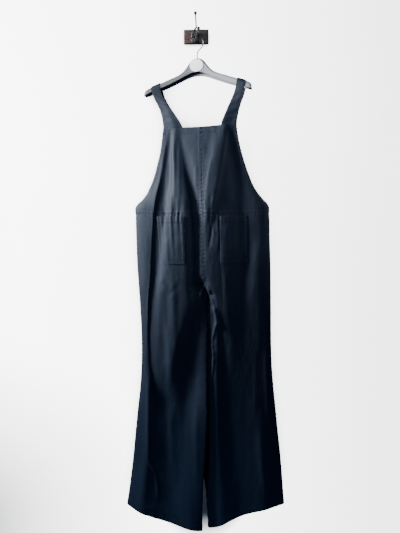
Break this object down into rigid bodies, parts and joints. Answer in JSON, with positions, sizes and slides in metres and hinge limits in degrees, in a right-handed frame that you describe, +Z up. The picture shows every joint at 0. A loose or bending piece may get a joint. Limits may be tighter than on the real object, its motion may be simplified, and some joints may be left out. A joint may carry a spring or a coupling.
{
  "type": "wide-leg overalls on a clothes hanger with a wall hook",
  "caption": "Sleeveless wide-leg overalls with a plain bib, wide straps and patch pockets, hung on a plastic hanger from a coat hook on a wooden wall block.",
  "frame": {"origin": "middle of the wooden block's back face, where it lies on the wall", "axes": "+Y into the wall, square to the block's back face; +Z up along the garment; +X to the right of someone who looks at the garment's front"},
  "size_m": [0.5425, 0.148, 1.7083],
  "materials": {
    "navy_cloth": "smooth dark navy cotton twill with a soft sheen",
    "hanger_plastic": "grey moulded plastic",
    "disc_plastic": "plain white",
    "hook_wire": "zinc-plated wire",
    "block_wood": "old reddish-brown wood",
    "hook_iron": "dark worn iron"
  },
  "bodies": {
    "root": {"front_bib_left": "navy_cloth", "front_bib_right": "navy_cloth", "back_bib_left": "navy_cloth", "back_bib_right": "navy_cloth", "front_leg_left": "navy_cloth", "front_leg_right": "navy_cloth", "back_leg_left": "navy_cloth", "back_leg_right": "navy_cloth", "pocket_left": "navy_cloth", "pocket_right": "navy_cloth", "strap_left": "navy_cloth", "strap_right": "navy_cloth", "hanger_body": "hanger_plastic", "hanger_disc": "disc_plastic", "hanger_hook": "hook_wire", "wall_block": "block_wood", "wall_hook": "hook_iron", "screw_upper": "hook_iron", "screw_lower": "hook_iron"}
  },
  "joints": []
}
